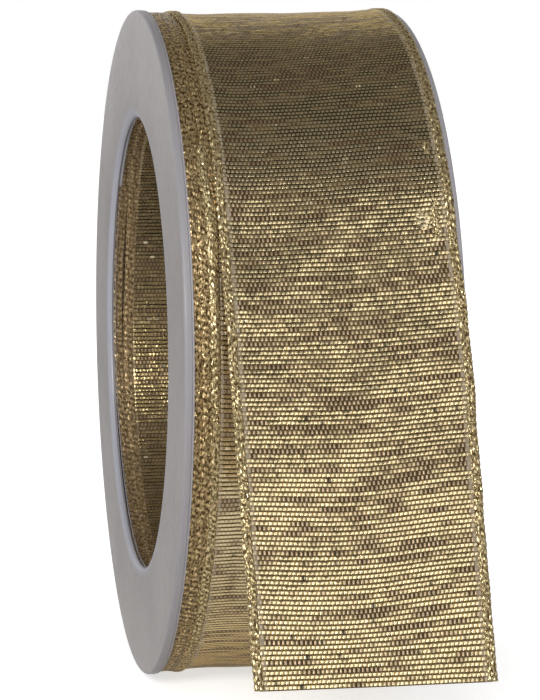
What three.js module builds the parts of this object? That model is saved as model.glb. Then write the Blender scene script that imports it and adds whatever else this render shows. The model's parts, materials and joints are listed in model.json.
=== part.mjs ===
// A spool of wire-edged metallic ribbon: two moulded flanges on a clear rolled tube, the wound
// ribbon with its two wired edges, and the ribbon's free end.
// Units are millimetres. X runs along the spool's axis, Z is up, and the free end hangs at the
// front, towards -Y. The origin is on the axis, midway between the flanges.
import * as THREE from 'three';
import { mergeVertices } from 'three/addons/utils/BufferGeometryUtils.js';

// Spool
const FLANGE_RADIUS = 61.2;
const FLANGE_THICKNESS = 1.4;
const FLANGE_SPACING = 44.7; // between the two inner faces
const HOLE_RADIUS = 41.7;
const HOLE_ROUNDING = 0.9; // on the hole's outer edge
const RIM_ROUNDING = 0.45;
const SEAT_DEPTH = 0.5; // step in the inner face that takes the tube's end
const TUBE_WALL = 0.6;
const TUBE_SKEW = 0.8; // axial step at the seam, from rolling the sheet slightly askew
const TUBE_SEAM_ANGLE = 139;
const TUBE_SEAM_GAP = 0.5; // degrees
const CLEARANCE = 0.3;

// Ribbon
const RIBBON_THICKNESS = 0.24;
const RIBBON_LEFT = -17.7;
const RIBBON_RIGHT = 22.1;
const EDGE_WIDTH = 1.6; // each wired edge
const EDGE_THICKNESS = 0.7;
const WOUND_RADIUS = 60.1;
const EDGE_COIL_RADIUS = 60.8;
const TURN_RADIUS = 60.5; // inside of the last turn's woven band
const TAPE_THICKNESS = 0.1;
const TAPE_LENGTH = 30;
const TAPE_WIDTH = 24;
const TAPE_ANGLE = 215;

// Free end
const LEAVE_ANGLE = 25.2; // above the horizontal at the front, where the free end leaves
const TAIL_LENGTH = 79.4;
const HINGE_GAP = 0.5;
const CLEAR_ANGLE = 12; // the last turn starts this far below the line where the free end leaves

const SEGMENTS = 48; // facets round each ring, with one lying flat underneath

const degrees = THREE.MathUtils.degToRad;
const seatRadius = HOLE_RADIUS + CLEARANCE + TUBE_WALL + CLEARANCE;
const tubeRadius = HOLE_RADIUS + CLEARANCE; // inside
const innerFace = FLANGE_SPACING / 2;
const woundHalfWidth = innerFace - CLEARANCE;
const coreRadius = tubeRadius + TUBE_WALL + CLEARANCE; // outside of the tube, plus a gap

const frosted = new THREE.MeshStandardMaterial({ color: 0xaaa3a2, roughness: 0.55, metalness: 0 });
const clear = new THREE.MeshStandardMaterial({ color: 0xdde3e6, roughness: 0.12, metalness: 0 });
const adhesive = new THREE.MeshStandardMaterial({ color: 0xe8e2cf, roughness: 0.3, metalness: 0 });
const weave = new THREE.MeshStandardMaterial({ color: 0x9c8550, roughness: 0.4, metalness: 0.7 });
const twist = new THREE.MeshStandardMaterial({ color: 0xb08a3e, roughness: 0.35, metalness: 0.8 });

const spool = new THREE.Group();

function addMesh(name, geometry, material, parent = spool) {
  geometry.deleteAttribute('normal');
  geometry.deleteAttribute('uv');
  const merged = mergeVertices(geometry, 1e-5);
  merged.computeVertexNormals();
  const mesh = new THREE.Mesh(merged, material.clone());
  mesh.name = name;
  parent.add(mesh);
  return mesh;
}

// A ring round the X axis from a closed outline of [radius, place along X] pairs. The outline
// goes anticlockwise with radius to the right. Starting half a facet round puts a facet lowest.
function ring(outline) {
  const points = outline.map(([radius, along]) => new THREE.Vector2(radius, along));
  points.push(points[0].clone());
  const geometry = new THREE.LatheGeometry(points, SEGMENTS, Math.PI / SEGMENTS);
  return geometry.rotateZ(-Math.PI / 2);
}

// A strip bent round the X axis. Angles are in degrees from the front, rising over the top.
function bentStrip({ radius, thickness, left, right, from, sweep, skew = 0, segments = SEGMENTS }) {
  const turn = degrees(sweep);
  const geometry = new THREE.BoxGeometry(turn, thickness, right - left, segments, 1, 1);
  const position = geometry.attributes.position;
  for (let i = 0; i < position.count; i += 1) {
    const share = position.getX(i) / turn + 0.5;
    const angle = degrees(from) + share * turn;
    const distance = radius + thickness / 2 + position.getY(i);
    const along = (left + right) / 2 + position.getZ(i) + skew * share;
    position.setXYZ(i, along, -distance * Math.cos(angle), distance * Math.sin(angle));
  }
  return geometry;
}

// Points of a quarter circle round [radius, along], from one angle to another.
function arc(radius, along, size, from, to, steps = 4) {
  return Array.from({ length: steps + 1 }, (_, i) => {
    const angle = degrees(from + ((to - from) * i) / steps);
    return [radius + size * Math.cos(angle), along + size * Math.sin(angle)];
  });
}

// Right flange: inner face towards -X. Its hole has a rounded outer edge and a stepped seat for
// the tube on the inner side.
function flangeGeometry() {
  const outerFace = innerFace + FLANGE_THICKNESS;
  const rim = FLANGE_RADIUS - RIM_ROUNDING;
  const rounding = HOLE_RADIUS + HOLE_ROUNDING;
  return ring([
    [seatRadius, innerFace],
    ...arc(rim, innerFace + RIM_ROUNDING, RIM_ROUNDING, -90, 0),
    ...arc(rim, outerFace - RIM_ROUNDING, RIM_ROUNDING, 0, 90),
    ...arc(rounding, outerFace - HOLE_ROUNDING, HOLE_ROUNDING, 90, 180),
    [seatRadius, innerFace + SEAT_DEPTH],
  ]);
}

function addFlanges() {
  addMesh('right_flange', flangeGeometry(), frosted);
  const left = addMesh('left_flange', flangeGeometry(), frosted);
  left.rotation.z = Math.PI;
}

// The tube is one clear sheet rolled up, butted at a seam, with both ends in the flanges' seats.
function addTube() {
  const end = innerFace + SEAT_DEPTH - CLEARANCE;
  const geometry = bentStrip({
    radius: tubeRadius,
    thickness: TUBE_WALL,
    left: -end,
    right: end - TUBE_SKEW,
    from: TUBE_SEAM_ANGLE + TUBE_SEAM_GAP / 2,
    sweep: 360 - TUBE_SEAM_GAP,
    skew: TUBE_SKEW,
  });
  addMesh('hub_tube', geometry, clear);
}

// The tape that holds the ribbon's first end on the tube.
function addStarterTape() {
  const sweep = THREE.MathUtils.radToDeg(TAPE_LENGTH / coreRadius);
  const geometry = bentStrip({
    radius: coreRadius,
    thickness: TAPE_THICKNESS,
    left: -TAPE_WIDTH / 2,
    right: TAPE_WIDTH / 2,
    from: TAPE_ANGLE,
    sweep,
    segments: 10,
  });
  addMesh('starter_tape', geometry, adhesive);
}

// The wound layers: the woven bands as one ring, and each wired edge's coil as a ring beside it.
// The left coil stands a little proud, because the last turn lies to the right of it.
function addWinding() {
  const inside = coreRadius + TAPE_THICKNESS + CLEARANCE;
  const coilInner = woundHalfWidth - EDGE_WIDTH;
  const band = coilInner - CLEARANCE;
  const section = (left, right, radius) => [
    [inside, left],
    [radius, left],
    [radius, right],
    [inside, right],
  ];
  addMesh('ribbon_winding', ring(section(-band, band, WOUND_RADIUS)), weave);
  const leftCoil = section(-woundHalfWidth, -coilInner, EDGE_COIL_RADIUS);
  addMesh('winding_left_edge', ring(leftCoil), twist);
  const rightCoil = section(coilInner, woundHalfWidth, WOUND_RADIUS);
  addMesh('winding_right_edge', ring(rightCoil), twist);
}

// The last turn: a woven band between two thicker wired edges.
function addLastTurn() {
  const bandMiddle = TURN_RADIUS + RIBBON_THICKNESS / 2;
  const edgeRadius = bandMiddle - EDGE_THICKNESS / 2;
  const arcOfTurn = {
    from: LEAVE_ANGLE,
    sweep: 360 - CLEAR_ANGLE,
  };
  addMesh('last_turn', bentStrip({
    radius: TURN_RADIUS,
    thickness: RIBBON_THICKNESS,
    left: RIBBON_LEFT + EDGE_WIDTH + CLEARANCE,
    right: RIBBON_RIGHT - EDGE_WIDTH - CLEARANCE,
    ...arcOfTurn,
  }), weave);
  for (const [side, left] of [['left', RIBBON_LEFT], ['right', RIBBON_RIGHT - EDGE_WIDTH]]) {
    addMesh(`last_turn_${side}_edge`, bentStrip({
      radius: edgeRadius,
      thickness: EDGE_THICKNESS,
      left,
      right: left + EDGE_WIDTH,
      ...arcOfTurn,
    }), twist);
  }
}

// The free end hangs in its own group, whose origin is on the hinge line at the place where the
// ribbon leaves the winding, with Z along the ribbon, back up to that line.
function addTail() {
  const tail = new THREE.Group();
  const distance = TURN_RADIUS + RIBBON_THICKNESS / 2;
  const angle = degrees(LEAVE_ANGLE);
  tail.position.set(0, -distance * Math.cos(angle), distance * Math.sin(angle));
  tail.rotation.x = -angle;
  spool.add(tail);

  const length = TAIL_LENGTH - HINGE_GAP;
  const middle = -(HINGE_GAP + TAIL_LENGTH) / 2;
  const bandLeft = RIBBON_LEFT + EDGE_WIDTH + CLEARANCE;
  const bandRight = RIBBON_RIGHT - EDGE_WIDTH - CLEARANCE;
  const band = new THREE.BoxGeometry(bandRight - bandLeft, RIBBON_THICKNESS, length);
  band.translate((bandLeft + bandRight) / 2, 0, middle);
  addMesh('ribbon_tail', band, weave, tail);
  const places = { left: RIBBON_LEFT + EDGE_WIDTH / 2, right: RIBBON_RIGHT - EDGE_WIDTH / 2 };
  for (const [side, place] of Object.entries(places)) {
    const edge = new THREE.CylinderGeometry(0.5, 0.5, length, 12);
    edge.rotateX(Math.PI / 2);
    edge.scale(EDGE_WIDTH, EDGE_THICKNESS, 1);
    edge.translate(place, 0, middle);
    addMesh(`tail_${side}_edge`, edge, twist, tail);
  }
}

addFlanges();
addTube();
addStarterTape();
addWinding();
addLastTurn();
addTail();

export default spool;
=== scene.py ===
import json
import math

import bpy
import numpy as np
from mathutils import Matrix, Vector


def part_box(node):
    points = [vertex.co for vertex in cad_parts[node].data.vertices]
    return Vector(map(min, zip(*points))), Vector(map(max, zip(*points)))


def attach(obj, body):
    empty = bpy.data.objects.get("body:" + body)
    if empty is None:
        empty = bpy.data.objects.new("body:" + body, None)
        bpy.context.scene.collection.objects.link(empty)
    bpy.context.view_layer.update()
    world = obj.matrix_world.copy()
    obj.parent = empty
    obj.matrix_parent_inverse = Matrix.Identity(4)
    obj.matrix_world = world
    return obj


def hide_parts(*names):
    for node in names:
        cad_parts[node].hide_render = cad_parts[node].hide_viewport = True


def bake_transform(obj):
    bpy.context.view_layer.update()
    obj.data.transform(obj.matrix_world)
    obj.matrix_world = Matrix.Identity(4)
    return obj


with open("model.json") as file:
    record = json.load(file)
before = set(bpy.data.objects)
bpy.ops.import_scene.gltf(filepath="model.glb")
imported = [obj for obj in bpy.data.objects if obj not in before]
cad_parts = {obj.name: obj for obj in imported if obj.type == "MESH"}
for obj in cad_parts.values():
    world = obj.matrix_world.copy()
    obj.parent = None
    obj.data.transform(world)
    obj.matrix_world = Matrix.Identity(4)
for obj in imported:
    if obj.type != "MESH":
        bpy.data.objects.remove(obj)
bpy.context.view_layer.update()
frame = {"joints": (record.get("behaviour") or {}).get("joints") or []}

# The script's own unit is the metre. X runs along the spool's axis and the free end hangs
# towards -Y. A place along the ribbon is its distance past the line where it leaves the
# winding: positive on the free end, negative on the winding.
MM = 0.001

# Flanges
CAD_FACETS = 48
ROUND_STEPS = 288
HOLE_ROUNDING = 0.9 * MM
RIM_ROUNDING = 0.45 * MM
LIP_HEIGHT = 0.36 * MM
LIP_WIDTH = 0.35 * MM
LIP_ROUNDING = 0.1 * MM
SEAT_DEPTH = 0.5 * MM
WARP = 0.10 * MM

# Tube and tape
CLEARANCE = 0.3 * MM
TUBE_WALL = 0.6 * MM
TUBE_ROUNDING = 0.2 * MM
TUBE_SEAM = math.radians(139)
TUBE_GAP = math.radians(0.4)
TUBE_SKEW = 0.45 * MM
TAPE_START = math.radians(215)
TAPE_LENGTH = 30 * MM
TAPE_THICKNESS = 0.08 * MM
TAPE_LIFT = 0.04 * MM
TAPE_NOTCH = 0.25 * MM
TAPE_POINTS = 9

# Ribbon
THICKNESS = 0.24 * MM
EDGE_WIDTH = 1.6 * MM
EDGE_THICKNESS = 0.66 * MM
EDGE_INSET = 0.62 * EDGE_WIDTH
ROW_PITCH = 0.8 * MM
LINK_PITCH = 1.25 * MM
FIRST_TURN_RIB = 0.05 * MM
RIB = 0.032 * MM
NARROWER_LEFT = 0.45 * MM
WIDER_RIGHT = 0.75 * MM
FIRST_TURN_GAP = 0.69 * MM
FIRST_TURN_LEFT = -20.4 * MM
FIRST_TURN_OVERLAP_ROWS = 6
LAYER_STEP = 0.3 * MM
DRIFT_PER_TURN = 2.3 * MM
BACK_SEAM = math.radians(190)
OVERLAP = math.radians(14)

# How far the last turn stands up along its edges and sinks beside the left one, and where this
# shape fades out on the free end
LEFT_RIDGE = 0.30 * MM
DIP = 0.16 * MM
DIP_PLACE = 6 * MM
DIP_REACH = 4 * MM
RIGHT_RISE = 0.45 * MM
RIGHT_RIDGE = 0.40 * MM
FADE_START = -6 * MM
FADE_END = 30 * MM

# The free end: its width's swell and narrowing, its bend, bow and trough, and its buckles
SWELL = 0.5 * MM
SWELL_PLACE = 21 * MM
SWELL_REACH = 15 * MM
TAPER = 0.85 * MM
SOFT_BEND = 22 * MM
TROUGH = 0.25 * MM
BOW_LEAD = 2.5 * MM
BOW_SLOPE = 0.014
BUCKLE = 0.09 * MM

# How the weft rows and the wired edges stray from straight lines
WEFT_RISE = 1.9 * MM
WEFT_WAVE = 0.25 * MM
WEFT_WANDER = 0.22 * MM
WEFT_BOW_START = 14 * MM
EDGE_WANDER = 0.08 * MM
STRAND_WANDER = 0.34 * MM
STRAND_LIFT = 0.14 * MM

# The stretch of the last turn where its gold cells run together, a painted lightening of the weave
# where it is seen at a slant
PAINTED_MERGE_UNTIL = -50 * MM
PAINTED_MERGE_GONE_FROM = -36 * MM

# Woven rows are counted back from the cut end. This keeps every row's number well above zero.
FIRST_ROW_NUMBER = 400.0

# Lower layers' edges that show beside the first turn and the last: places along X in mm, and
# for the outer ones also their radii in mm
INNER_STRANDS = (-21.3, -19.4, 19.4, 21.3)
OUTER_STRANDS = (
    (-21.5, 60.45),
    (-19.95, 60.5),
    (-18.4, 60.4),
    (-16.9, 59.9),
    (20.0, 59.9),
    (21.35, 60.0),
)
INNER_STRAND_GAP = 0.1 * MM
STRAND_WIDTH = 1.3 * EDGE_WIDTH
STRAND_SIDES = 8

# The inner layers, as one ring with a ridged stack at each side
BULK_GAP = 0.35 * MM
STACK_LAYERS = 34
STACK_GROOVE = 0.5 * MM

# Weave: the pitch of its warp threads in mm, and how softly its cells and rows end, as a share
# of their height
CELL_PITCH = 0.735
CELL_SOFTNESS = 0.16
ROW_SOFTNESS = 0.18

# Studio. The tones are shares of plain white. The camera sees a white room and a floor that
# turns grey near the spool, a painted shadow, and the object is lit by a darker room and a dimmer
# floor.
FLOOR_GLOW_IN_PAINTED_SHADOW = 0.62
FLOOR_LIGHT = 0.165
WALL_BEHIND = 0.8
WALL_LEFT = 0.64
ROOM = 0.105
LIGHT_DISTANCE = 0.8
FLOOR_SIDE = 6.0
FLOOR_GAP = 0.05 * MM

# The photo's camera, fitted to the flanges' rims, the hole and the ribbon's edges. Its lens and
# sensor are in mm.
CAMERA_PLACE = Vector((-89.6, -495.0, 50.1)) * MM
CAMERA_TARGET = Vector((1.69, 0.0, -1.89)) * MM
CAMERA_LENS = 138.9
CAMERA_SENSOR = 36.0


def half_height(node):
    low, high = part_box(node)
    return (high.z - low.z) / 2


# Dimensions read from the CAD model. Its rings have flat facets, so a ring's true radius is
# its half height over the cosine of half a facet.
FACET_COSINE = math.cos(math.pi / CAD_FACETS)
flange_radius = half_height("right_flange") / FACET_COSINE
inner_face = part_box("right_flange")[0].x
outer_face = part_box("right_flange")[1].x
tube_outer = half_height("hub_tube") / FACET_COSINE
hole_radius = tube_outer - TUBE_WALL - CLEARANCE
tube_end = -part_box("hub_tube")[0].x
winding_radius = half_height("ribbon_winding") / FACET_COSINE
ribbon_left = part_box("tail_left_edge")[0].x + NARROWER_LEFT
ribbon_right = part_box("tail_right_edge")[1].x + WIDER_RIGHT
band_width = ribbon_right - ribbon_left
hinge = Vector(frame["joints"][0]["pos_m"])
leave_angle = math.atan2(hinge.z, -hinge.y)
turn_radius = math.hypot(hinge.y, hinge.z)
tail_length = (hinge.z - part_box("ribbon_tail")[0].z) / math.cos(leave_angle)
first_turn_radius = tube_outer + FIRST_TURN_GAP

# Rows of weave from the cut end to the seam at the back, and to where the last turn begins
seam_row = round((tail_length + turn_radius * (BACK_SEAM - leave_angle)) / ROW_PITCH)
last_row = math.floor((tail_length + turn_radius * (2 * math.pi + OVERLAP)) / ROW_PITCH)


def smooth(low, high, value):
    share = np.clip((value - low) / (high - low), 0, 1)
    return share * share * (3 - 2 * share)


def waves(seed, count=5, low=0.5, high=3.0):
    """A smooth random function of one variable, between about -1 and 1, as a sum of sines."""
    draw = np.random.default_rng(seed)
    rates = draw.uniform(low, high, count)
    phases = draw.uniform(0, 2 * math.pi, count)

    def value(x):
        total = sum(np.sin(rate * x + phase) for rate, phase in zip(rates, phases))
        return total / math.sqrt(count)

    return value


# ---------------------------------------------------------------- meshes


def signed_volume(points, faces):
    quads = np.array([face for face in faces if len(face) == 4])
    a, b, c, d = (points[quads[:, k]] for k in range(4))
    total = np.einsum("ij,ij->i", a, np.cross(b, c)).sum()
    return total + np.einsum("ij,ij->i", a, np.cross(c, d)).sum()


def make_object(name, points, faces, materials, attributes=None, sharp=None):
    """A smooth-shaded mesh object with its faces pointing out. attributes: name to points x 3."""
    if signed_volume(points, faces) < 0:
        faces = [face[::-1] for face in faces]
    mesh = bpy.data.meshes.new(name)
    mesh.from_pydata(points.tolist(), [], faces)
    for key, values in (attributes or {}).items():
        layer = mesh.attributes.new(key, "FLOAT_VECTOR", "POINT")
        layer.data.foreach_set("vector", values.astype(np.float32).ravel())
    for material in materials:
        mesh.materials.append(material)
    mesh.shade_smooth()
    if sharp is not None:
        mesh.set_sharp_from_angle(angle=sharp)
    item = bpy.data.objects.new(name, mesh)
    bpy.context.scene.collection.objects.link(item)
    return item


def loft(name, loops, materials, attributes=None, closed=False, sharp=None):
    """A skin over loops, an array of rows x points x 3. It closes on itself or has two caps."""
    rows, count, _ = loops.shape
    index = np.arange(rows * count).reshape(rows, count)
    if closed:
        index = np.vstack([index, index[:1]])
    left, right = index, np.roll(index, -1, axis=1)
    quads = np.stack([left[:-1], left[1:], right[1:], right[:-1]], axis=-1)
    faces = quads.reshape(-1, 4).tolist()
    if not closed:
        faces.append(index[0].tolist())
        faces.append(index[-1][::-1].tolist())
    flat = {key: values.reshape(-1, 3) for key, values in (attributes or {}).items()}
    return make_object(name, loops.reshape(-1, 3), faces, materials, flat, sharp)


def lathe(name, outline, materials, steps=ROUND_STEPS, sharp=None, ripple=None):
    """A ring round the X axis from a closed outline of (radius, along X) pairs."""
    outline = np.array(outline)
    angle = np.linspace(0, 2 * math.pi, steps, endpoint=False)[:, None]
    radius, along = outline[None, :, 0], outline[None, :, 1]
    if ripple is not None:
        along = along + ripple(angle, radius)
    loops = np.stack(
        [
            np.broadcast_to(along, (steps, len(outline))),
            -radius * np.cos(angle),
            radius * np.sin(angle),
        ],
        axis=-1,
    )
    return loft(name, loops, materials, closed=True, sharp=sharp)


def quarter(radius, along, size, start, end, steps=8):
    """A rounded corner: points on an arc round (radius, along), between two angles in degrees."""
    angles = np.radians(np.linspace(start, end, steps + 1))
    return [(radius + size * math.cos(a), along + size * math.sin(a)) for a in angles]


# ---------------------------------------------------------------- the ribbon's line


def outer_line(place):
    """Centre line of the last turn and the free end: points (y, z) and the outward normals."""
    place = np.asarray(place, float)
    back = np.minimum(place, 0)
    angle = leave_angle - back / turn_radius
    radius = turn_radius - LAYER_STEP * (angle - leave_angle) / (2 * math.pi)
    outward = np.stack([-np.cos(angle), np.sin(angle)], axis=-1)
    straight = np.array([-math.sin(leave_angle), -math.cos(leave_angle)])
    free = np.maximum(place, 0)[:, None] * straight
    return radius[:, None] * outward + free, outward


def outer_shift(across, place):
    """How far along X the ribbon lies from where it leaves the winding.

    It drifts along the winding, and the free end swells a little and then narrows to its cut.
    """
    swell = SWELL * np.exp(-(((place - SWELL_PLACE) / SWELL_REACH) ** 2))
    taper = TAPER * smooth(0.4 * tail_length, tail_length, place)
    drift = DRIFT_PER_TURN * np.minimum(place, 0) / (2 * math.pi * turn_radius)
    return drift + (swell - taper) * smooth(0.2, 1.0, across / band_width)


def inner_line(place):
    """Centre line of the first turn, whose face towards the axis is the one that shows."""
    angle = np.asarray(place, float) / first_turn_radius
    radius = first_turn_radius + LAYER_STEP * angle / (2 * math.pi)
    outward = np.stack([-np.cos(angle), np.sin(angle)], axis=-1)
    return radius[:, None] * outward, -outward


def pack_height(across, place):
    """How far the last turn stands off its line: layered wired edges lift its sides."""
    share = across / band_width
    left_ridge = LEFT_RIDGE * np.exp(-((across / EDGE_WIDTH) ** 2))
    dip = -DIP * np.exp(-(((across - DIP_PLACE) / DIP_REACH) ** 2))
    rise = RIGHT_RISE * smooth(0.35, 1.0, share) + RIGHT_RIDGE * smooth(0.82, 0.97, share)
    return (left_ridge + dip + rise) * (1 - smooth(FADE_START, FADE_END, place))


def tail_height(across, place):
    """The free end's own shape: a slight trough across it and a slight bow along it."""
    share = across / band_width
    free = np.clip(place, 0, tail_length)
    trough = TROUGH * (2 * share - 1) ** 2 * smooth(0, SOFT_BEND, place)
    lead = np.clip(place + BOW_LEAD, 0, BOW_LEAD)
    bow = BOW_SLOPE * (lead ** 2 / (2 * BOW_LEAD) + free * (1 - free / tail_length))
    return trough + bow


def weft_bow(across):
    """How far each weft row rises towards the ribbon's right edge."""
    share = across / band_width
    return WEFT_RISE * smooth(0.45, 1.25, share) - WEFT_WAVE * np.sin(2 * math.pi * share)


row_wander = waves(11, low=150, high=420)
column_wander = waves(12, low=60, high=200)
buckle_along = waves(13, low=180, high=380)
buckle_across = waves(14, low=60, high=170)


def buckle(across, place):
    """The ribbon's own slight waviness, which breaks up its reflections."""
    return BUCKLE * buckle_along(place + 0.25 * across + 4 * MM * buckle_across(across))


# ---------------------------------------------------------------- ribbon pieces


def ribbon_rows(first, last, samples):
    """Distances back from the cut end, counted in weft rows, and the share of a rib's height."""
    steps = np.arange(round(first * samples), round(last * samples) + 1)
    rows = steps / samples
    rib = np.sin(math.pi * rows) ** 2
    return rows, np.sqrt(rib)


def band(
    name, line, shift, height, first, last, columns, under, rib, material, end, samples, bowed=True
):
    """A closed strip of woven ribbon between two counts of weft rows. end is the place of row 0.

    columns and under are the points across its outer face and its inner face, and rib is the
    height of a weft row.
    """
    rows, ribs = ribbon_rows(first, last, samples)
    top = np.linspace(EDGE_INSET, band_width - EDGE_INSET, columns)
    across = np.concatenate([top, np.linspace(top[-1], top[0], under)])
    side = np.concatenate([np.ones(columns), -np.ones(under)])
    grid_rows, grid_across = np.meshgrid(rows, across, indexing="ij")
    place = end - grid_rows * ROW_PITCH
    if bowed:
        bend = weft_bow(grid_across) + WEFT_WANDER * column_wander(grid_across + 0.3 * place)
        place = place - bend * smooth(0, WEFT_BOW_START, end - place)
    flat = place.ravel()
    centre, normal = line(flat)
    x = ribbon_left + grid_across.ravel() + shift(grid_across.ravel(), flat)
    rib_height = rib * (0.75 + 0.25 * row_wander(grid_rows * ROW_PITCH + 0.1 * grid_across))
    lift = side * (THICKNESS / 2) + side * ribs[:, None] * rib_height
    lift = lift.ravel() + height(grid_across.ravel(), flat)
    points = np.column_stack([x, centre + normal * lift[:, None]])
    shape = grid_rows.shape + (3,)
    # The first turn, and the last turn away from where it leaves the winding, get their cells painted
    # together: a painted lightening of the weave.
    painted_merge = np.ones_like(place)
    if bowed:
        painted_merge = 1 - smooth(PAINTED_MERGE_UNTIL, PAINTED_MERGE_GONE_FROM, place)
    weave = np.stack([grid_across / MM, grid_rows + FIRST_ROW_NUMBER, painted_merge], axis=-1)
    return loft(name, points.reshape(shape), [material], {"weave": weave})


def plait(around, along):
    """Height of a chain of slanting stitches, from 0 to 1. around is an angle, along in links."""
    across = np.cos(around)
    slant = along + 0.45 * np.abs(across) + 0.5 * (across > 0)
    stitch = np.abs(np.cos(math.pi * slant)) ** 0.7
    middle = 0.45 + 0.55 * smooth(0.0, 0.45, np.abs(across))
    return stitch * middle


def edge_loops(centres, outward, x, along, width, sides, relief):
    """Loops of a stitched edge round a line of (y, z) centres with outward normals."""
    around = np.linspace(0, 2 * math.pi, sides, endpoint=False)
    height = plait(around[None, :], along[:, None])
    grow = 1 + relief * (height - 0.5)
    flat = np.sign(np.cos(around)) * np.abs(np.cos(around)) ** 0.8 * width / 2
    tall = np.sign(np.sin(around)) * np.abs(np.sin(around)) ** 0.8 * EDGE_THICKNESS / 2
    loops = np.empty((len(x), sides, 3))
    loops[:, :, 0] = x[:, None] + flat[None, :] * (1 + 0.25 * (grow - 1))
    loops[:, :, 1:] = centres[:, None, :] + (tall[None, :] * grow)[:, :, None] * outward[:, None, :]
    turn = np.broadcast_to(around[None, :] / (2 * math.pi), height.shape)
    shade = np.stack([height, np.broadcast_to(along[:, None], height.shape), turn], axis=-1)
    return loops, shade


def wired_edge(name, height, first, last, at_right, steps, sides):
    """One stitched edge of an outer strip, from first to last metres back from the cut end."""
    count = round((last - first) / LINK_PITCH * steps)
    back = np.linspace(first, last, count)
    place = tail_length - back
    across = band_width - EDGE_WIDTH / 2 if at_right else EDGE_WIDTH / 2
    centre, normal = outer_line(place)
    wander = column_wander(place * 4 + at_right) * EDGE_WANDER
    lift = height(np.full_like(place, across), place)
    x = ribbon_left + across + outer_shift(np.full_like(place, across), place) + wander
    along = back / LINK_PITCH + 0.35 * row_wander(place * 2)
    centres = centre + normal * lift[:, None]
    loops, shade = edge_loops(centres, normal, x, along, EDGE_WIDTH, sides, 0.7)
    return loft(name, loops, [STITCH], {"plait": shade})


def strand_ring(name, x, radius, material, seed, steps):
    """A lower layer's edge, seen as a full ring of stitches. steps is the loops in a stitch."""
    links = round(2 * math.pi * radius / LINK_PITCH)
    count = links * steps
    angle = np.arange(count) * 2 * math.pi / count
    sway = waves(seed, low=1, high=6)
    turns = np.round(np.random.default_rng(seed).uniform(1, 7, 4))
    ripple = sum(np.sin(turn * angle + seed * turn) for turn in turns) / 4
    outward = np.stack([-np.cos(angle), np.sin(angle)], axis=-1)
    centres = (radius + STRAND_LIFT * ripple)[:, None] * outward
    along = np.arange(count) / steps + sway(0.0)
    x = x + STRAND_WANDER * np.roll(ripple, count // 3)
    loops, shade = edge_loops(centres, outward, x, along, STRAND_WIDTH, STRAND_SIDES, 0.4)
    return loft(name, loops, [material], {"plait": shade}, closed=True)


# ---------------------------------------------------------------- materials


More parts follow.
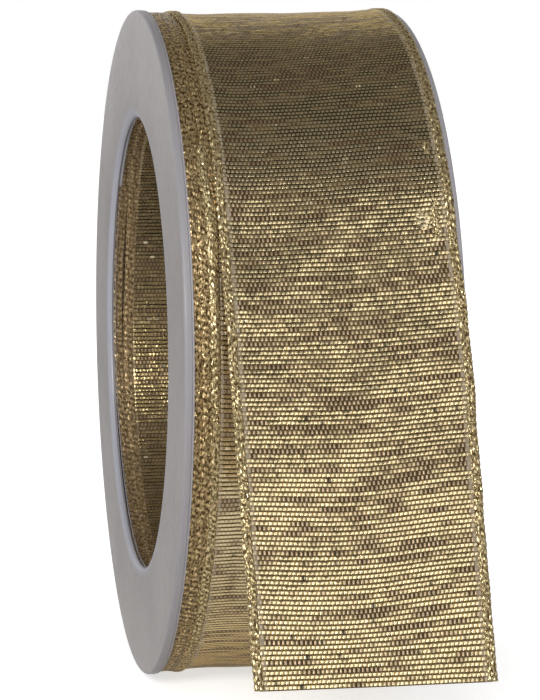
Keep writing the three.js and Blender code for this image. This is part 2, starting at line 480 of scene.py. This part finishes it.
class Graph:
    """The node tree of a material or a world, with short calls for the nodes it needs."""

    def __init__(self, owner):
        self.owner = owner
        owner.use_nodes = True
        self.tree = owner.node_tree
        self.tree.nodes.clear()

    def node(self, kind, inputs=None, **settings):
        made = self.tree.nodes.new(kind)
        for key, value in settings.items():
            setattr(made, key, value)
        for key, value in (inputs or {}).items():
            if isinstance(value, bpy.types.NodeSocket):
                self.tree.links.new(value, made.inputs[key])
            else:
                made.inputs[key].default_value = value
        return made

    def math(self, operation, *values):
        return self.node("ShaderNodeMath", dict(enumerate(values)), operation=operation).outputs[0]

    def step(self, value, low, high):
        inputs = {"Value": value, "From Min": low, "From Max": high}
        made = self.node("ShaderNodeMapRange", inputs, interpolation_type="SMOOTHSTEP")
        return made.outputs["Result"]

    def above(self, value, edge, softness):
        """1 where value is above an edge that is itself a node's output, and 0 below it."""
        low = self.math("SUBTRACT", edge, softness)
        return self.step(value, low, self.math("ADD", edge, softness))

    def mix(self, share, a, b):
        """Numbers: a where share is 0, b where it is 1."""
        made = self.node("ShaderNodeMix", {0: share, 2: a, 3: b}, data_type="FLOAT")
        return made.outputs[0]

    def blend(self, share, a, b):
        """Colours: a where share is 0, b where it is 1."""
        a, b = ((*value, 1) if isinstance(value, tuple) else value for value in (a, b))
        made = self.node("ShaderNodeMix", {0: share, 6: a, 7: b}, data_type="RGBA")
        return made.outputs[2]

    def parts(self, vector):
        return self.node("ShaderNodeSeparateXYZ", {0: vector}).outputs

    def vector(self, x, y, z=0.0):
        return self.node("ShaderNodeCombineXYZ", {0: x, 1: y, 2: z}).outputs[0]

    def length(self, vector):
        return self.node("ShaderNodeVectorMath", {0: vector}, operation="LENGTH").outputs["Value"]

    def object_place(self):
        return self.node("ShaderNodeTexCoord").outputs["Object"]

    def is_camera_ray(self):
        return self.node("ShaderNodeLightPath").outputs["Is Camera Ray"]

    def attribute(self, name):
        return self.node("ShaderNodeAttribute", attribute_name=name).outputs["Vector"]

    def noise(self, vector, scale, detail=1.0, roughness=0.5):
        inputs = {"Vector": vector, "Scale": scale, "Detail": detail, "Roughness": roughness}
        return self.node("ShaderNodeTexNoise", inputs).outputs[0]

    def noise_colour(self, vector):
        inputs = {"Vector": vector, "Scale": 1.0, "Detail": 1.0}
        return self.node("ShaderNodeTexNoise", inputs).outputs["Color"]

    def random(self, vector):
        return self.node("ShaderNodeTexWhiteNoise", {"Vector": vector}, noise_dimensions="3D").outputs

    def bump(self, height, distance, strength=1.0, normal=None):
        inputs = {"Height": height, "Distance": distance, "Strength": strength}
        if normal is not None:
            inputs["Normal"] = normal
        return self.node("ShaderNodeBump", inputs).outputs[0]

    def tilt(self, random_colour, amount, centre=(0.5, 0.5, 0.5)):
        """The surface's normal, leaned a little way at random about a middle colour."""
        offset = self.node(
            "ShaderNodeVectorMath", {0: random_colour, 1: centre}, operation="SUBTRACT"
        ).outputs[0]
        scaled = self.node("ShaderNodeVectorMath", {0: offset, "Scale": amount}, operation="SCALE")
        normal = self.node("ShaderNodeNewGeometry").outputs["Normal"]
        added = self.node(
            "ShaderNodeVectorMath", {0: normal, 1: scaled.outputs[0]}, operation="ADD"
        ).outputs[0]
        return self.node("ShaderNodeVectorMath", {0: added}, operation="NORMALIZE").outputs[0]

    def finish(self, **inputs):
        """The material itself, with one shader that takes these inputs."""
        shader = self.node("ShaderNodeBsdfPrincipled")
        for key, value in inputs.items():
            socket = shader.inputs[key.replace("_", " ")]
            if isinstance(value, bpy.types.NodeSocket):
                self.tree.links.new(value, socket)
            elif isinstance(value, tuple) and len(value) == 3:
                socket.default_value = (*value, 1)
            else:
                socket.default_value = value
        output = self.node("ShaderNodeOutputMaterial")
        self.tree.links.new(shader.outputs[0], output.inputs[0])
        return self.owner


def material_graph(name):
    return Graph(bpy.data.materials.new(name))


def woven_gold(name, tint):
    """Weft of flat gold yarn, bright in streaks, over a brown mesh of fine pale warp threads."""
    g = material_graph(name)

    def tinted(*colour):
        return tuple(part * share for part, share in zip(colour, tint))

    # The mesh gives each point its distance across in mm, its count of rows, and how far its cells are
    # painted together.
    across, rows, painted_merge = g.parts(g.attribute("weave"))
    row = g.math("FLOOR", rows)
    in_row = g.math("FRACT", rows)
    row_random = g.random(g.vector(row, 3.7))[0]
    shift = g.math("MULTIPLY_ADD", row_random, 0.16, g.math("MULTIPLY", row, 0.53))
    cell = g.math("MULTIPLY_ADD", across, 1 / CELL_PITCH, shift)
    turn = g.math("MULTIPLY", cell, 2 * math.pi)
    across_cell = g.math("MULTIPLY_ADD", g.math("COSINE", turn), 0.5, 0.5)
    across_row = g.math("SINE", g.math("MULTIPLY", in_row, math.pi))

    def field(across_rate, count, row_rate, detail=1.0):
        """Noise that changes slowly across the ribbon and at its own rate from row to row."""
        place = g.vector(g.math("MULTIPLY", across, across_rate), g.math("MULTIPLY", count, row_rate))
        return g.noise(place, 1.0, detail)

    # Where the gold yarn lies on top: streaks within a row, and patches over many rows.
    long_streak = field(0.06, row, 5.17)
    short_streak = field(0.22, row, 7.31)
    patch = field(0.04, rows, 0.16, 2.0)
    streak = g.math("MULTIPLY_ADD", short_streak, 0.32, g.math("MULTIPLY", long_streak, 0.44))
    level = g.math("MULTIPLY_ADD", patch, 0.24, streak)
    gold = g.step(level, 0.422, 0.522)

    # Each row is cut into cells by the warp threads. Gold cells are longer, and where they are painted
    # together the weave is lighter, a painted stand-in for its look at a slant.
    cell_edge = g.mix(gold, 0.60, 0.34)
    row_edge = g.mix(gold, 0.30, 0.54)
    in_cell = g.above(across_cell, cell_edge, CELL_SOFTNESS)
    in_cell = g.mix(g.math("MULTIPLY", painted_merge, g.mix(gold, 0.25, 0.72)), in_cell, 1.0)
    in_weft = g.above(across_row, row_edge, ROW_SOFTNESS)
    dot = g.math("MULTIPLY", in_cell, in_weft)

    dull = g.blend(dot, tinted(0.058, 0.036, 0.014), tinted(0.50, 0.37, 0.24))
    bright = g.blend(in_cell, tinted(0.40, 0.29, 0.12), tinted(0.96, 0.80, 0.50))
    bright = g.blend(in_weft, tinted(0.12, 0.078, 0.03), bright)
    colour = g.blend(gold, dull, bright)

    # A pale strip of plain weave runs beside each wired edge.
    left = EDGE_WIDTH / MM
    right = (band_width - EDGE_WIDTH) / MM
    at_left = g.step(across, left + 0.75, left + 0.45)
    at_right = g.step(across, right - 0.75, right - 0.45)
    strip = g.math("MAXIMUM", at_left, at_right)
    strip = g.math("MULTIPLY", strip, g.math("SUBTRACT", 1.0, g.math("MULTIPLY", gold, 0.6)))
    pale = g.math("MULTIPLY", strip, 0.8)
    colour = g.blend(pale, colour, tinted(0.36, 0.30, 0.22))

    # Every cell leans a little way of its own, and a few lean far and sparkle.
    cell_random = g.random(g.vector(g.math("FLOOR", cell), row, 1.0))
    sparkle = g.step(cell_random[0], 0.988, 0.992)
    lean = g.math("MULTIPLY_ADD", sparkle, 0.9, g.mix(gold, 0.17, 0.13))
    centre = g.vector(0.5, g.mix(sparkle, 0.5, 0.78), g.mix(sparkle, 0.5, 0.85))
    metal = g.mix(gold, g.math("MULTIPLY", dot, 0.84), g.mix(dot, 0.95, 0.93))
    metal = g.math("MULTIPLY", metal, g.math("SUBTRACT", 1.0, pale))
    glint = g.math("MULTIPLY", sparkle, dot)
    metal = g.math("MAXIMUM", metal, glint)
    colour = g.blend(glint, colour, (1.0, 0.90, 0.62))
    height = g.math("MULTIPLY_ADD", dot, 0.8, g.math("MULTIPLY", across_cell, 0.2))
    normal = g.bump(height, 0.035 * MM, 0.8, g.tilt(cell_random[1], lean, centre))
    return g.finish(
        Base_Color=colour,
        Metallic=metal,
        Roughness=g.mix(gold, 0.33, 0.24),
        Specular_IOR_Level=0.2,
        Specular_Tint=(0.80, 0.66, 0.42),
        Sheen_Weight=0.08,
        Sheen_Roughness=0.4,
        Sheen_Tint=(0.80, 0.64, 0.38),
        Normal=normal,
    )


def stitched_gold(name, light, deep_and_shade, metal, glint):
    """Twisted metallic yarn over the edge wire, with painted shade: bright on the crowns of the
    stitches and darker down between them.
    """
    g = material_graph(name)
    height, along, around = g.parts(g.attribute("plait"))
    place = g.object_place()
    thread_place = g.vector(g.math("MULTIPLY", around, 15.0), g.math("MULTIPLY", along, 1.7))
    threads = g.noise(thread_place, 1.0, 2.0)
    fibres = g.noise(place, 2400.0, 2.0)
    tilt_place = g.vector(g.math("MULTIPLY", around, 26.0), g.math("MULTIPLY", along, 1.6))
    tilts = g.noise_colour(tilt_place)
    # Colour turns darker down between the stitches' crowns, which is painted shade in the hollows. It
    # also varies with the threads and fibres, which is the yarn's own colour.
    painted_crown_shading = g.step(height, 0.28, 0.85)
    tone_and_shade = g.math("MULTIPLY", g.mix(painted_crown_shading, 0.30, 1.0), g.step(threads, 0.36, 0.60))
    tone_and_shade = g.math("MULTIPLY", tone_and_shade, g.step(fibres, 0.25, 0.50))
    colour = g.blend(tone_and_shade, deep_and_shade, light)
    normal = g.bump(threads, 0.12 * MM, 1.0, g.tilt(tilts, glint))
    return g.finish(
        Base_Color=colour,
        Metallic=g.mix(tone_and_shade, 0.2, metal),
        Roughness=0.24,
        Specular_IOR_Level=0.25,
        Specular_Tint=(0.85, 0.70, 0.45),
        Normal=normal,
    )


def frosted_plastic():
    """Translucent moulded polystyrene: frosted and faintly cloudy, clearer at its thin rim with
    painted light there, and with a painted highlight round the hole's rounded edge.
    """
    g = material_graph("frosted_plastic")
    place = g.object_place()
    _, y, z = g.parts(place)
    radius = g.length(g.vector(0.0, y, z))
    cloud = g.noise(place, 55.0, 3.0)
    grain = g.noise(place, 5200.0, 1.0)
    scuff = g.noise(place, 420.0, 4.0, 0.65)
    colour = g.blend(g.step(cloud, 0.3, 0.7), (0.374, 0.336, 0.328), (0.428, 0.390, 0.378))
    # A painted highlight along the rounded edge of the hole.
    hole_painted_highlight = g.step(radius, hole_radius + 2.4 * HOLE_ROUNDING, hole_radius + 0.4 * HOLE_ROUNDING)
    colour = g.blend(hole_painted_highlight, colour, (0.46, 0.46, 0.52))
    # Near the rim the plastic is clearer, and its colour is lighter as painted light coming through
    # the thin edge.
    rim = g.step(radius, flange_radius - 1.1 * RIM_ROUNDING, flange_radius - 0.3 * RIM_ROUNDING)
    colour = g.blend(rim, colour, (0.45, 0.43, 0.455))
    return g.finish(
        Base_Color=colour,
        Roughness=g.mix(g.step(scuff, 0.45, 0.75), 0.34, 0.46),
        Alpha=g.mix(rim, 0.94, 0.70),
        IOR=1.5,
        Normal=g.bump(grain, 0.02 * MM, 0.3),
    )


def clear_tube():
    """Clear sheet that shows what lies behind it, with rubbing marks and whiter cut ends."""
    g = material_graph("clear_tube")
    place = g.object_place()
    x, _, _ = g.parts(place)
    marks = g.noise(place, 900.0, 3.0, 0.7)
    cut = g.step(g.math("ABSOLUTE", x), tube_end - 0.60 * MM, tube_end - 0.40 * MM)
    return g.finish(
        Base_Color=g.blend(cut, (0.10, 0.10, 0.10), (0.50, 0.50, 0.55)),
        Alpha=g.mix(cut, 0.07, 0.70),
        Roughness=g.mix(g.step(marks, 0.5, 0.8), 0.08, 0.26),
        IOR=1.5,
    )


def clear_tape():
    """Thin adhesive tape: nearly clear, a little milky, with fine wrinkles."""
    g = material_graph("clear_tape")
    place = g.object_place()
    wrinkles = g.noise(place, 300.0, 3.0, 0.6)
    return g.finish(
        Base_Color=(0.62, 0.60, 0.55),
        Alpha=g.mix(g.step(wrinkles, 0.35, 0.7), 0.12, 0.22),
        Roughness=0.22,
        Normal=g.bump(wrinkles, 0.05 * MM, 0.5),
    )


def bulk_ribbon():
    """The sides of the inner layers, seen only in the slits between other pieces."""
    g = material_graph("bulk_ribbon")
    place = g.object_place()
    layers = g.noise(place, 1500.0, 2.0)
    colour = g.blend(g.step(layers, 0.35, 0.65), (0.10, 0.07, 0.03), (0.34, 0.25, 0.12))
    return g.finish(Base_Color=colour, Metallic=0.4, Roughness=0.5)


WEAVE = woven_gold("woven_gold", (1.0, 1.0, 1.0))
# The inner face's copy is tinted warmer and deeper: painted bounce light, for the first turn that lies
# in shade inside the tube.
INNER_WEAVE_PAINTED_BOUNCE = woven_gold("woven_gold_inner_face_painted_bounce", (1.0, 0.94, 0.76))
STITCH = stitched_gold(
    "stitched_gold", light=(0.96, 0.78, 0.43), deep_and_shade=(0.09, 0.052, 0.017), metal=0.9, glint=1.6
)
PACKED_STITCH = stitched_gold(
    "packed_stitched_gold", light=(0.92, 0.68, 0.35), deep_and_shade=(0.065, 0.037, 0.012), metal=0.85, glint=2.3
)
# The rings inside the tube get a copy of the edge yarn with a lighter dark colour and less metal:
# painted light where they lie in shade.
INNER_STITCH_PAINTED_LIGHT = stitched_gold(
    "inner_stitched_gold_painted_light", light=(0.92, 0.67, 0.36), deep_and_shade=(0.15, 0.09, 0.033), metal=0.45, glint=1.8
)
FROSTED = frosted_plastic()
CLEAR = clear_tube()
TAPE = clear_tape()
BULK = bulk_ribbon()


# ---------------------------------------------------------------- spool


def flange_outline():
    """The right flange's section, as (radius, along X): a lip and a groove inside its rim."""
    rim = flange_radius - RIM_ROUNDING
    seat = tube_outer + CLEARANCE
    rounding = hole_radius + HOLE_ROUNDING
    outline = [(seat, inner_face)]
    outline += [(r, inner_face) for r in np.linspace(seat, rim, 6)[1:-1]]
    lip_foot = flange_radius - LIP_HEIGHT
    lip_crown = inner_face - LIP_WIDTH + LIP_ROUNDING
    outline += [(lip_foot, inner_face)]
    outline += quarter(lip_foot + LIP_ROUNDING, lip_crown, LIP_ROUNDING, 180, 270, 3)
    outline += quarter(flange_radius - 0.16 * MM, lip_crown, LIP_ROUNDING, -90, 0, 3)
    # The groove, in mm out from the rim's radius and the inner face
    groove = ((-0.06, -0.06), (-0.20, 0.0), (-0.04, 0.08), (0.0, 0.18))
    outline += [(flange_radius + r * MM, inner_face + x * MM) for r, x in groove]
    outline += quarter(rim, outer_face - RIM_ROUNDING, RIM_ROUNDING, 0, 90)
    outline += [(r, outer_face) for r in np.linspace(rim, rounding, 6)[1:-1]]
    outline += quarter(rounding, outer_face - HOLE_ROUNDING, HOLE_ROUNDING, 90, 180)
    outline += [(seat, inner_face + SEAT_DEPTH)]
    return outline


def add_flanges():
    """Both discs, each a little warped, as thin mouldings are."""
    reach = flange_radius - hole_radius
    for node, sign in (("right_flange", 1), ("left_flange", -1)):
        outline = [(radius, sign * along) for radius, along in flange_outline()]

        def warp(angle, radius, sign=sign):
            share = (radius - hole_radius) / reach
            return WARP * share * np.sin(2 * angle + 0.6 * sign)

        disc = lathe(node + "_disc", outline, [FROSTED], sharp=math.radians(32), ripple=warp)
        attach(disc, "spool")
        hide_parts(node)


def add_tube():
    """The clear tube, rolled from one sheet, slightly askew, with rounded ends."""
    share = np.linspace(0, 1, 240)
    angle = TUBE_SEAM + TUBE_GAP / 2 + share * (2 * math.pi - TUBE_GAP)
    inner = tube_outer - TUBE_WALL
    soft = TUBE_ROUNDING
    right_end = tube_end - TUBE_SKEW
    section = np.array([
        (inner, -tube_end + soft),
        (inner + soft, -tube_end),
        (tube_outer - soft, -tube_end),
        (tube_outer, -tube_end + soft),
        (tube_outer, right_end - soft),
        (tube_outer - soft, right_end),
        (inner + soft, right_end),
        (inner, right_end - soft),
    ])
    radius = section[None, :, 0]
    loops = np.stack(
        [
            section[None, :, 1] + TUBE_SKEW * (1 - share[:, None]),
            -radius * np.cos(angle)[:, None],
            radius * np.sin(angle)[:, None],
        ],
        axis=-1,
    )
    tube = loft("clear_tube", loops, [CLEAR], sharp=math.radians(35))
    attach(tube, "spool")
    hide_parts("hub_tube")


def add_tape():
    """The strip of tape that holds the ribbon's first end, with ends cut on a toothed blade."""
    low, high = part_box("starter_tape")
    inner = tube_outer + TAPE_LIFT
    angle = np.linspace(TAPE_START, TAPE_START + TAPE_LENGTH / tube_outer, 24)
    half = (high.x - low.x) / 2
    edge = np.linspace(-half, half, TAPE_POINTS)
    notch = TAPE_NOTCH * np.cos(np.arange(TAPE_POINTS) * math.pi)
    across = np.concatenate([edge, edge[::-1]])
    jag = np.concatenate([notch, notch[::-1]])
    radius = np.repeat([inner, inner + TAPE_THICKNESS], TAPE_POINTS)
    ends = np.zeros(len(angle))
    ends[[0, -1]] = 1
    turned = angle[:, None] + ends[:, None] * jag[None, :] / inner
    loops = np.stack(
        [
            np.broadcast_to(across, turned.shape),
            -radius * np.cos(turned),
            radius * np.sin(turned),
        ],
        axis=-1,
    )
    tape = loft("starter_tape_strip", loops, [TAPE])
    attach(tape, "spool")
    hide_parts("starter_tape")


# ---------------------------------------------------------------- ribbon on the spool


def inner_shift(across, place):
    return np.full_like(place, FIRST_TURN_LEFT - ribbon_left)


def no_height(across, place):
    return np.zeros_like(place)


def add_first_turn():
    """The innermost turn, which shows through the clear tube, with its edges."""
    turn = 2 * math.pi * first_turn_radius
    rows = math.floor(turn / ROW_PITCH) + FIRST_TURN_OVERLAP_ROWS
    first = band(
        "first_turn_band", inner_line, inner_shift, no_height, 0, rows, 30, 3,
        FIRST_TURN_RIB, INNER_WEAVE_PAINTED_BOUNCE, end=turn, samples=3, bowed=False,
    )
    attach(first, "spool")
    radius = first_turn_radius + INNER_STRAND_GAP
    for i, x in enumerate(INNER_STRANDS):
        name = f"inner_edge_{i + 1}"
        ring = strand_ring(name, x * MM, radius, INNER_STITCH_PAINTED_LIGHT, seed=30 + i, steps=4)
        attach(ring, "spool")


def add_bulk():
    """The layers between the first turn and the last, and their edges as two ridged stacks."""
    inner = first_turn_radius + BULK_GAP
    outer = winding_radius - BULK_GAP
    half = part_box("ribbon_winding")[1].x
    outline = [(inner, -half), (outer, -half), (outer, half), (inner, half)]
    body = lathe("wound_layers", outline, [BULK], steps=144)
    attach(body, "spool")
    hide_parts("ribbon_winding")
    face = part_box("winding_right_edge")[1].x
    radii = np.linspace(inner, outer, 2 * STACK_LAYERS + 1)
    draw = np.random.default_rng(5)
    for side, sign in (("left", -1), ("right", 1)):
        depth = face - draw.uniform(0.1, 0.8, len(radii)) * MM
        depth[::2] -= STACK_GROOVE
        outline = [(inner, sign * (half - 0.1 * MM))]
        outline += [(r, sign * d) for r, d in zip(radii, depth)]
        outline += [(outer, sign * (half - 0.1 * MM))]
        stack = lathe(f"{side}_edge_stack", outline, [PACKED_STITCH], steps=180)
        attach(stack, "spool")
        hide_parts(f"winding_{side}_edge")


def add_outer_strands():
    """The edges of the layers just below the last turn, where they show beside it."""
    for i, (x, radius) in enumerate(OUTER_STRANDS):
        name = f"outer_edge_{i + 1}"
        ring = strand_ring(name, x * MM, radius * MM, PACKED_STITCH, seed=50 + i, steps=5)
        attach(ring, "spool")


def add_last_turn():
    """The last turn from under the free end round to the seam low at the back."""
    turn = band(
        "last_turn_band", outer_line, outer_shift, pack_height, seam_row, last_row, 36, 4,
        RIB, WEAVE, end=tail_length, samples=3,
    )
    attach(turn, "spool")
    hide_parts("last_turn")
    for side, at_right in (("left", False), ("right", True)):
        edge = wired_edge(
            f"last_turn_{side}_stitching", pack_height, seam_row * ROW_PITCH, last_row * ROW_PITCH,
            at_right, steps=5, sides=10,
        )
        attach(edge, "spool")
        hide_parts(f"last_turn_{side}_edge")


def free_height(across, place):
    return pack_height(across, place) + tail_height(across, place) + buckle(across, place)


def add_free_end():
    """The front half of the last turn and the free end, in one strip that leaves the winding where the
    joint is.
    """
    strip = band(
        "free_end_band", outer_line, outer_shift, free_height, 0, seam_row, 56, 12,
        RIB, WEAVE, end=tail_length, samples=4,
    )
    pieces = [(strip, "ribbon_tail", "gold_weave")]
    for side, at_right in (("left", False), ("right", True)):
        edge = wired_edge(
            f"free_end_{side}_stitching", free_height, 0.1 * MM, seam_row * ROW_PITCH,
            at_right, steps=6, sides=14,
        )
        pieces.append((edge, f"tail_{side}_edge", "gold_wired_edge"))
    for piece, node, slot in pieces:
        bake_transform(piece)
        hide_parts(node)


# ---------------------------------------------------------------- stage


def add_stage():
    """A pale glowing floor that turns plain white some way off, like a sheet of studio paper, and grey
    near the spool as a painted shadow.
    """
    floor_z = -flange_radius - FLOOR_GAP
    side = FLOOR_SIDE
    corners = [(-side, -side), (side, -side), (side, side), (-side, side)]
    mesh = bpy.data.meshes.new("floor")
    mesh.from_pydata([(x, y, floor_z) for x, y in corners], [], [(0, 1, 2, 3)])
    floor = bpy.data.objects.new("floor", mesh)
    bpy.context.scene.collection.objects.link(floor)
    g = material_graph("pale_floor")
    place = g.object_place()
    # Painted shadow: the floor the camera sees is dimmer near the spool.
    glow_with_painted_shadow = g.mix(g.step(g.length(place), 0.05, 0.15), FLOOR_GLOW_IN_PAINTED_SHADOW, 1.0)
    glow_with_painted_shadow = g.mix(g.is_camera_ray(), FLOOR_LIGHT, glow_with_painted_shadow)
    mesh.materials.append(
        g.finish(
            Base_Color=(0.9, 0.9, 0.9),
            Roughness=0.8,
            Specular_IOR_Level=0.0,
            Emission_Color=(1.0, 1.0, 1.0),
            Emission_Strength=glow_with_painted_shadow,
        )
    )


def add_light(name, azimuth, elevation, size, radiance):
    """A soft light that faces the spool. Azimuth 0 is the front, and 90 the right."""
    a, e = math.radians(azimuth), math.radians(elevation)
    way = Vector((math.sin(a) * math.cos(e), -math.cos(a) * math.cos(e), math.sin(e)))
    data = bpy.data.lights.new(name, "AREA")
    data.shape = "RECTANGLE"
    data.size, data.size_y = size
    data.energy = radiance * math.pi * size[0] * size[1]
    light = bpy.data.objects.new(name, data)
    light.location = way * LIGHT_DISTANCE
    light.rotation_euler = (-way).to_track_quat("-Z", "Y").to_euler()
    bpy.context.scene.collection.objects.link(light)


def add_world():
    """White to the eye. As a light: a white wall behind, a grey one at the left, a dark ceiling."""
    world = bpy.data.worlds.new("studio")
    bpy.context.scene.world = world
    g = Graph(world)
    direction = g.node("ShaderNodeTexCoord").outputs["Generated"]
    x, y, z = g.parts(direction)
    behind = g.math("MULTIPLY", g.step(y, 0.1, 0.6), WALL_BEHIND)
    left = g.math("MULTIPLY", g.step(x, -0.4, -0.9), WALL_LEFT)
    walls = g.math("MULTIPLY", g.math("MAXIMUM", behind, left), g.step(z, 0.75, 0.35))
    white = (1, 1, 1, 1)
    seen = g.node("ShaderNodeBackground", {"Color": white})
    lit = g.node("ShaderNodeBackground", {"Color": white, "Strength": g.math("ADD", walls, ROOM)})
    shaders = {0: g.is_camera_ray(), 1: lit.outputs[0], 2: seen.outputs[0]}
    mixed = g.node("ShaderNodeMixShader", shaders)
    g.node("ShaderNodeOutputWorld", {0: mixed.outputs[0]})


def add_camera():
    data = bpy.data.cameras.new("camera")
    data.lens = CAMERA_LENS
    data.sensor_width = CAMERA_SENSOR
    camera = bpy.data.objects.new("camera", data)
    camera.location = CAMERA_PLACE
    camera.rotation_euler = (CAMERA_TARGET - CAMERA_PLACE).to_track_quat("-Z", "Y").to_euler()
    bpy.context.scene.collection.objects.link(camera)
    bpy.context.scene.camera = camera


add_camera()
add_world()
add_stage()
add_light("key", azimuth=8, elevation=35.5, size=(0.95, 0.16), radiance=1.45)
add_light("fill", azimuth=8, elevation=22, size=(0.95, 0.25), radiance=0.68)
add_light("left_key", azimuth=-16, elevation=20, size=(0.30, 0.15), radiance=23.0)
bpy.context.scene.view_settings.view_transform = "Standard"

add_flanges()
add_tube()
add_tape()
add_first_turn()
add_bulk()
add_outer_strands()
add_last_turn()
add_free_end()
